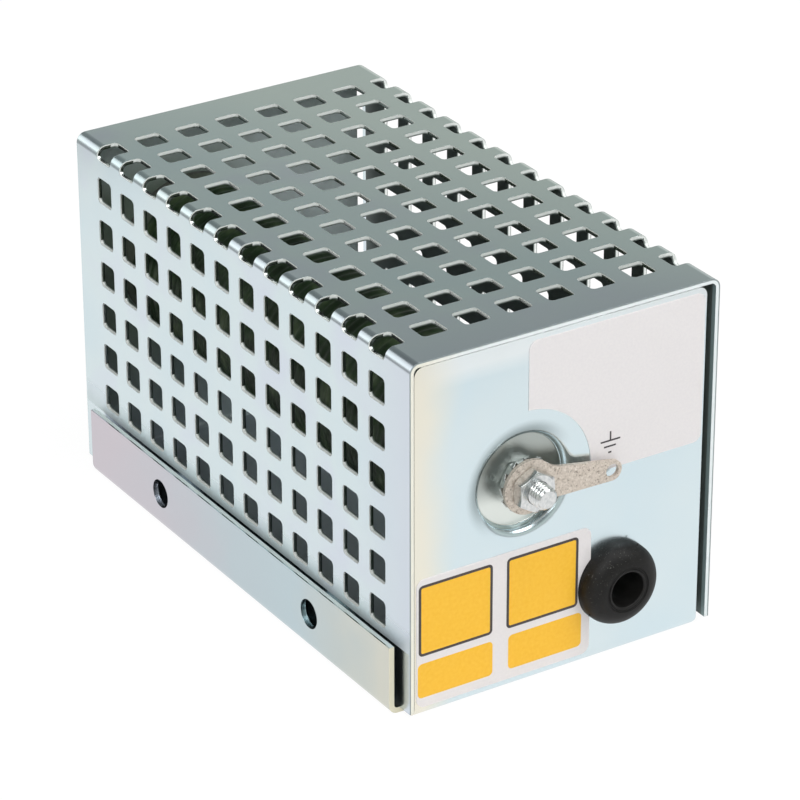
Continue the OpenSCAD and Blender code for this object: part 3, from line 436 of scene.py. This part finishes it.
# Earth tag: stamped from brass sheet, dipped in tin and held on the stud between the toothed washer
# and the nut. The tin has dried grey-pink and grainy, with dark pits.
tinned, tree, shader, place = new_material("dipped tin on brass", Metallic=0.6, Roughness=0.46)
grit = add(tree, "ShaderNodeTexNoise", {"Vector": place, "Scale": 1 / (0.42 * MM), "Detail": 3.0,
                                        "Roughness": 0.7})
colour = add(tree, "ShaderNodeValToRGB", {0: grit}, [
    (0.32, "#776B62"), (0.42, "#CABEB2"), (0.60, "#DBD0C5"), (0.73, "#F0E9E2")])
bump = add(tree, "ShaderNodeBump", {"Height": grit, "Strength": 0.3, "Distance": 0.1 * MM})
plug(shader, {"Base Color": colour, "Normal": bump})
wear("earth_tag", tinned)


# Lugs: nickel steel strips fired onto the tube, one near each end, each with a screw and a nut for a
# lead's ring. Heat has dulled them.
lug_steel, tree, shader, place = new_material("heat-dulled nickel steel", Metallic=1.0, Roughness=0.4)
scale = add(tree, "ShaderNodeTexNoise", {"Vector": place, "Scale": 1 / (2 * MM), "Detail": 3.0})
colour = add(tree, "ShaderNodeValToRGB", {0: scale}, [(0.35, "#8F887D"), (0.65, "#ABA59B")])
plug(shader, {"Base Color": colour})
wear("front_lug", lug_steel)
wear("rear_lug", lug_steel)


# Leads: stranded copper in a braided glass sleeve, browned a little by heat. They run from the lugs to
# the terminal block.
sleeve, tree, shader, place = new_material("braided glass sleeve", Roughness=0.85)
braid = add(tree, "ShaderNodeTexWave", {"Vector": place, "Scale": math.pi / (10 * 1.0 * MM)},
            bands_direction="DIAGONAL")
colour = add(tree, "ShaderNodeValToRGB", {0: braid}, [(0.2, "#A9A496"), (0.8, "#C6C1B3")])
plug(shader, {"Base Color": colour})
wear("front_lead", sleeve)
wear("rear_lead", sleeve)


# Perforated cover: one sheet of zinc-plated steel punched with rows of square holes and folded twice.
# The top is painted lighter toward the rear right. The holes' cut faces are bright at the outside and
# torn dark further in, and these bands are also painted highlight and painted shade. Along the front
# cut edge runs a line of painted shade, and the right wall's inside just behind it is painted dark as
# shade. Inside, heat has dulled the plate and painted shade darkens it, and outside it is rubbed matt
# just above the flange.
INSIDE_X, INSIDE_Y, INSIDE_TOP = 36.05, 65.8, 78.55
FRONT_Y = -66.97
TOP_FACE, PAST_TOP = 79.2, 80
FLAT_TOP_X, SIDE_TOP = 34.6, 77
FOLD_X, FOLD_Z, FOLD_R = 34.8, 77.3, 2.2
SHEET_T = 1.0
ROLLED_DEPTH = 0.28
TURNED_AWAY = 0.3
COVER_EDGE = 0.10
cover_zinc, tree, shader, place = new_material("bright zinc plate on the cover")
axes = add(tree, "ShaderNodeSeparateXYZ", {0: place})
drift = add(tree, "ShaderNodeTexNoise", {"Vector": place, "Scale": 1 / (22 * MM), "Detail": 2.0})
colour = add(tree, "ShaderNodeValToRGB", {0: drift}, [
    (0.3, "#D2E1E6"), (0.55, "#D6E3E6"), (0.75, "#D3DAE6")])
front_end = add(tree, "ShaderNodeMapRange", {"Value": axes.outputs["Y"], "From Min": -66 * MM,
                                             "From Max": -46 * MM, "To Min": 0.6, "To Max": 0.0})
colour = add(tree, "ShaderNodeMix", {0: front_end, 6: colour, 7: linear("#CFD3E0")}, data_type="RGBA")
# Painted light: the top is lighter toward the rear right.
top_painted_light = add(tree, "ShaderNodeVectorMath", {0: place, 1: (1.0, 0.4, 0.0)}, operation="DOT_PRODUCT")
top_painted_light = add(tree, "ShaderNodeMapRange", {"Value": top_painted_light.outputs["Value"], "From Min": -8 * MM,
                                          "From Max": 36 * MM})
on_top = add(tree, "ShaderNodeMath", {0: axes.outputs["Z"], 1: TOP_FACE * MM}, operation="GREATER_THAN")
top_painted_light = add(tree, "ShaderNodeMath", {0: top_painted_light, 1: on_top}, operation="MULTIPLY")
colour = add(tree, "ShaderNodeMix", {0: top_painted_light, 6: colour, 7: linear("#E8F2F0")}, data_type="RGBA")
dull = within(tree, place, (-INSIDE_X, -INSIDE_Y, 0.0), (INSIDE_X, INSIDE_Y, INSIDE_TOP))
facing = add(tree, "ShaderNodeNewGeometry").outputs["True Normal"]
facing = add(tree, "ShaderNodeVectorMath", {0: facing}, operation="ABSOLUTE")
facing = add(tree, "ShaderNodeSeparateXYZ", {0: facing})
cut_y = add(tree, "ShaderNodeMath", {0: facing.outputs["Y"], 1: TURNED_AWAY}, operation="GREATER_THAN")
cut_x = add(tree, "ShaderNodeMath", {0: facing.outputs["X"], 1: TURNED_AWAY}, operation="GREATER_THAN")
top_zone = add(tree, "ShaderNodeMath", {0: axes.outputs["X"], 1: 0.0, 2: FLAT_TOP_X * MM},
               operation="COMPARE")
cut_x = add(tree, "ShaderNodeMath", {0: cut_x, 1: top_zone}, operation="MULTIPLY")
cut_z = add(tree, "ShaderNodeMath", {0: facing.outputs["Z"], 1: TURNED_AWAY}, operation="GREATER_THAN")
side_zone = add(tree, "ShaderNodeMath", {0: axes.outputs["Z"], 1: SIDE_TOP * MM}, operation="LESS_THAN")
cut_z = add(tree, "ShaderNodeMath", {0: cut_z, 1: side_zone}, operation="MULTIPLY")
cut_face = add(tree, "ShaderNodeMath", {0: cut_x, 1: cut_z}, operation="MAXIMUM")
cut_face = add(tree, "ShaderNodeMath", {0: cut_face, 1: cut_y}, operation="MAXIMUM")
top_ends = add(tree, "ShaderNodeMath", {0: 1.0, 1: side_zone}, operation="SUBTRACT")
top_ends = add(tree, "ShaderNodeMath", {0: cut_y, 1: top_ends}, operation="MULTIPLY")
burnished = add(tree, "ShaderNodeMath", {0: cut_z, 1: top_ends}, operation="MAXIMUM")
left_fold = within(tree, place, (-38, -PAST_END, 75), (-33.5, PAST_END, PAST_TOP))
burnished = add(tree, "ShaderNodeMath", {0: burnished, 1: left_fold}, operation="SUBTRACT", use_clamp=True)
past_x = add(tree, "ShaderNodeMath", {0: axes.outputs["X"]}, operation="ABSOLUTE")
past_x = add(tree, "ShaderNodeMath", {0: past_x, 1: FOLD_X * MM}, operation="SUBTRACT")
past_z = add(tree, "ShaderNodeMath", {0: axes.outputs["Z"], 1: FOLD_Z * MM}, operation="SUBTRACT")
past = add(tree, "ShaderNodeCombineXYZ", {0: past_x, 1: past_z})
past = add(tree, "ShaderNodeVectorMath", {0: past, 1: (0.0, 0.0, 0.0)}, operation="MAXIMUM")
below = add(tree, "ShaderNodeVectorMath", {0: past}, operation="LENGTH").outputs["Value"]
below = add(tree, "ShaderNodeMath", {0: FOLD_R * MM, 1: below}, operation="SUBTRACT")
rollover_and_painted_shade = add(tree, "ShaderNodeMath", {0: below, 1: ROLLED_DEPTH * MM}, operation="LESS_THAN")
bright_cut = add(tree, "ShaderNodeMath", {0: rollover_and_painted_shade, 1: burnished}, operation="MAXIMUM")
front_edge = within(tree, place, (-38, FRONT_Y - 0.08, 0), (38, FRONT_Y, PAST_TOP))
# The cut faces are coloured by depth into the sheet. The bright band near the outside is the punch's
# burnished zone and also a painted highlight, and the dark further in is the torn zone and also painted
# shade.
depth_in = add(tree, "ShaderNodeMapRange", {"Value": below, "From Min": 0.0, "From Max": SHEET_T * MM})
torn_zones_and_painted_light = add(tree, "ShaderNodeValToRGB", {0: depth_in}, [
    (0.05, "#C9D1CD"), (0.20, "#F8FAF8"), (0.62, "#EEF2F0"), (0.80, "#7C8681"), (1.0, "#5A635F")])
left_end = add(tree, "ShaderNodeMapRange", {"Value": axes.outputs["X"], "From Min": -33 * MM,
                                            "From Max": -24 * MM})
trimmed = add(tree, "ShaderNodeMix", {0: left_end, 6: linear("#EEEBDF"), 7: linear("#E9EFF1")},
              data_type="RGBA")
# Painted shade: a dark line along the outer side of the front cut edge.
trimmed = add(tree, "ShaderNodeMix", {0: rollover_and_painted_shade, 6: trimmed, 7: linear("#8A9496")}, data_type="RGBA")
cut_tint = add(tree, "ShaderNodeMix", {0: front_edge, 6: torn_zones_and_painted_light, 7: trimmed}, data_type="RGBA")
colour = add(tree, "ShaderNodeMix", {0: cut_face, 6: colour, 7: cut_tint}, data_type="RGBA")
# Painted shade: the right wall's inside just behind the front edge, in the gap by the front plate, is dark
# and matt.
shaded_rim_inside = within(tree, place, (35.9, FRONT_Y, 0), (36.1, -INSIDE_Y, PAST_TOP))
colour = add(tree, "ShaderNodeMix", {0: shaded_rim_inside, 6: colour, 7: linear("#7C8D8E")}, data_type="RGBA")
sheared = add(tree, "ShaderNodeMath", {0: bright_cut, 1: front_edge}, operation="MAXIMUM")
sheared = add(tree, "ShaderNodeMath", {0: sheared, 1: cut_face}, operation="MULTIPLY")
sheared = add(tree, "ShaderNodeMath", {0: sheared, 1: shaded_rim_inside}, operation="MAXIMUM")
rubbed = add(tree, "ShaderNodeMapRange", {"Value": axes.outputs["Z"], "From Min": 16 * MM,
                                          "From Max": 21 * MM, "To Min": 0.75, "To Max": 0.0})
over_flange = within(tree, place, (-37.1, -PAST_END, 15.0), (-36.9, PAST_END, 21))
rubbed = add(tree, "ShaderNodeMath", {0: rubbed, 1: over_flange}, operation="MULTIPLY")
matt = add(tree, "ShaderNodeMath", {0: sheared, 1: rubbed}, operation="MAXIMUM")
# The inside's dark grey tint is heat dulling and also painted shade.
zinc_surface(tree, shader, place, colour, dull, linear("#626B69"), matt, COVER_EDGE)
wear("perforated_cover", cover_zinc)


# Labels: white satin vinyl stuck to the front plate. The upper one has the earth sign printed beside
# the tag. The lower one has plain amber fields in dark lines.
vinyl, tree, shader, place = new_material("white satin vinyl", Roughness=0.55)
tooth = add(tree, "ShaderNodeTexNoise", {"Vector": place, "Scale": 1 / (0.6 * MM), "Detail": 3.0})
colour = add(tree, "ShaderNodeValToRGB", {0: tooth}, [(0.3, "#E2DDDF"), (0.7, "#E6E1E2")])
plug(shader, {"Base Color": colour})
wear("rating_label", vinyl)
wear("lower_label", vinyl)

dark_ink, tree, shader, place = new_material("dark screen ink", Roughness=0.5)
film = add(tree, "ShaderNodeTexNoise", {"Vector": place, "Scale": 1 / (0.5 * MM), "Detail": 2.0})
colour = add(tree, "ShaderNodeValToRGB", {0: film}, [(0.3, "#3A3335"), (0.7, "#443D3E")])
plug(shader, {"Base Color": colour})
amber_ink, tree, shader, place = new_material("amber screen ink", Roughness=0.5)
film = add(tree, "ShaderNodeTexNoise", {"Vector": place, "Scale": 1 / (0.8 * MM), "Detail": 2.0})
colour = add(tree, "ShaderNodeValToRGB", {0: film}, [(0.3, "#F5B925"), (0.7, "#F9C134")])
plug(shader, {"Base Color": colour})
INK_T = 0.03 * MM
lower_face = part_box("lower_label")[0].y
upper_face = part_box("rating_label")[0].y


def printed_field(name, face_y, x0, x1, z0, z1, corner, line, inks):
    bpy.ops.object.select_all(action="DESELECT")
    bpy.ops.mesh.primitive_plane_add(size=1.0, rotation=(math.pi / 2, 0, 0))
    piece = bpy.context.object
    piece.name = name
    bpy.ops.object.transform_apply(location=True, rotation=True, scale=True)
    bpy.ops.object.mode_set(mode="EDIT")
    bpy.ops.transform.resize(value=((x1 - x0) * MM, 1.0, (z1 - z0) * MM))
    bpy.ops.transform.translate(value=((x0 + x1) / 2 * MM, face_y, (z0 + z1) / 2 * MM))
    if corner:
        bpy.ops.mesh.bevel(offset=corner * MM, segments=6, affect="VERTICES")
    bpy.ops.mesh.select_all(action="SELECT")
    if line:
        bpy.ops.mesh.inset(thickness=line * MM, depth=0)
    bpy.ops.object.mode_set(mode="OBJECT")
    for ink in inks:
        piece.data.materials.append(ink)
    if line:
        for face in piece.data.polygons:
            face.material_index = 1 if face.select else 0
    bpy.ops.object.mode_set(mode="EDIT")
    bpy.ops.mesh.select_all(action="SELECT")
    bpy.ops.mesh.extrude_region_move(TRANSFORM_OT_translate={"value": (0, -INK_T, 0)})
    bpy.ops.mesh.select_all(action="SELECT")
    bpy.ops.mesh.normals_make_consistent(inside=False)
    bpy.ops.object.mode_set(mode="OBJECT")
    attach(piece, "root")


FRAMED = (1.0, 0.6, (dark_ink, amber_ink))
PLAIN = (1.0, 0, (amber_ink,))
STROKE = (0, 0, (dark_ink,))
for name, face_y, area, style in (
        ("amber_panel_left", lower_face, (-35.0, -17.4, 14.0, 30.2), FRAMED),
        ("amber_panel_right", lower_face, (-14.0, 3.4, 14.0, 30.2), FRAMED),
        ("amber_bar_left", lower_face, (-35.2, -17.3, 4.4, 12.3), PLAIN),
        ("amber_bar_right", lower_face, (-13.5, 4.4, 4.4, 12.3), PLAIN),
        ("earth_sign_stem", upper_face, (10.52, 10.88, 50.2, 52.1), STROKE),
        ("earth_sign_long_bar", upper_face, (8.3, 13.1, 49.84, 50.2), STROKE),
        ("earth_sign_middle_bar", upper_face, (9.15, 12.07, 48.59, 48.95), STROKE),
        ("earth_sign_short_bar", upper_face, (10.22, 11.0, 47.22, 47.58), STROKE)):
    printed_field(name, face_y, *area, *style)


# Floor and light: a white table in a grey studio, with soft boxes. The table looks white to the camera
# and in the metal, fades out further off in the metal's reflections, and keeps a faint shadow.
bpy.ops.object.select_all(action="DESELECT")
bpy.ops.mesh.primitive_plane_add(size=8.0, location=(0, 0, 0))
floor = bpy.context.object
floor.name = "floor"
white_table, tree, shader, place = new_material("white table", Roughness=0.9)
shader.inputs["Base Color"].default_value = (0.82, 0.82, 0.82, 1)
TABLE_LEVEL = 1.06
TABLE_GLOW = 0.88
FADE_FROM, FADE_TO = 0.225, 0.33
path = add(tree, "ShaderNodeLightPath")
distance = add(tree, "ShaderNodeVectorMath", {0: place}, operation="LENGTH").outputs["Value"]
fade = add(tree, "ShaderNodeMapRange", {"Value": distance, "From Min": FADE_FROM, "From Max": FADE_TO,
                                        "To Min": -0.03, "To Max": -0.71})
level = add(tree, "ShaderNodeMath", {0: path.outputs["Is Glossy Ray"], 1: fade, 2: TABLE_LEVEL},
            operation="MULTIPLY_ADD")
seen = add(tree, "ShaderNodeMath", {0: path.outputs["Is Camera Ray"], 1: path.outputs["Is Glossy Ray"]},
           operation="MAXIMUM")
seen = add(tree, "ShaderNodeMath", {0: seen, 1: path.outputs["Is Transmission Ray"]}, operation="MAXIMUM")
part = add(tree, "ShaderNodeMath", {0: seen, 1: TABLE_GLOW}, operation="MULTIPLY")
glow = add(tree, "ShaderNodeEmission", {"Color": (1, 1, 1, 1), "Strength": level})
mixed = add(tree, "ShaderNodeMixShader", {0: part, 1: shader, 2: glow})
plug(tree.nodes["Material Output"], {"Surface": mixed})
floor.data.materials.append(white_table)

world = bpy.data.worlds.new("grey studio")
world.use_nodes = True
bpy.context.scene.world = world
tree = world.node_tree
path = add(tree, "ShaderNodeLightPath")
seen = add(tree, "ShaderNodeMath", {0: path.outputs["Is Camera Ray"], 1: path.outputs["Is Transmission Ray"]},
           operation="MAXIMUM")
direction = add(tree, "ShaderNodeTexCoord").outputs["Generated"]
height = add(tree, "ShaderNodeSeparateXYZ", {0: direction}).outputs["Z"]
walls = add(tree, "ShaderNodeValToRGB", {0: height}, [
    (0.0, "#DDE0DB"), (0.28, "#C6CAC5"), (0.37, "#B2B8B3"), (0.45, "#979E9A"),
    (0.55, "#7D8381"), (0.66, "#696E6D"), (1.0, "#8A8F8E")])
room = add(tree, "ShaderNodeMix", {0: seen, 6: walls, 7: (1, 1, 1, 1)}, data_type="RGBA")
plug(tree.nodes["Background"], {"Color": room})

aim = Vector((0, 0, 0.04))
for name, spot, size, power in (("soft box left rear", (-0.68, 0.98, 0.56), 0.75, 1.5),
                                ("soft box front left", (-0.9, -0.95, 1.3), 1.0, 14.0),
                                ("soft box front right", (0.8, -0.95, 1.25), 0.8, 9.0),
                                ("soft box overhead", (0.1, -0.3, 1.45), 0.5, 5.0)):
    lamp = bpy.data.lights.new(name, "AREA")
    lamp.size = size
    lamp.energy = power
    box = bpy.data.objects.new(name, lamp)
    bpy.context.scene.collection.objects.link(box)
    box.location = spot
    box.rotation_euler = (aim - Vector(spot)).to_track_quat("-Z", "Y").to_euler()


# Camera: a long lens, from the front left and above, turned a little about its axis. Colours are shown
# as they are, with no film curve.
FOCAL_PX, IMAGE_PX, SENSOR = 4064.06, 800, 36
CAMERA_PLACE = (-0.41215, -0.65472, 0.42745)
az, el, roll = (math.radians(a) for a in (-32.40, 27.002, -0.132))
right = Vector((math.cos(az), math.sin(az), 0))
back = Vector((math.sin(az) * math.cos(el), -math.cos(az) * math.cos(el), math.sin(el)))
up = back.cross(right)
right, up = math.cos(roll) * right + math.sin(roll) * up, math.cos(roll) * up - math.sin(roll) * right
lens = bpy.data.cameras.new("camera")
lens.sensor_width = SENSOR
lens.lens = SENSOR * FOCAL_PX / IMAGE_PX
lens.clip_start = 0.01
camera = bpy.data.objects.new("camera", lens)
bpy.context.scene.collection.objects.link(camera)
turned = Matrix((right, up, back)).transposed().to_4x4()
camera.matrix_world = Matrix.Translation(CAMERA_PLACE) @ turned
bpy.context.scene.camera = camera
bpy.context.scene.view_settings.view_transform = "Standard"
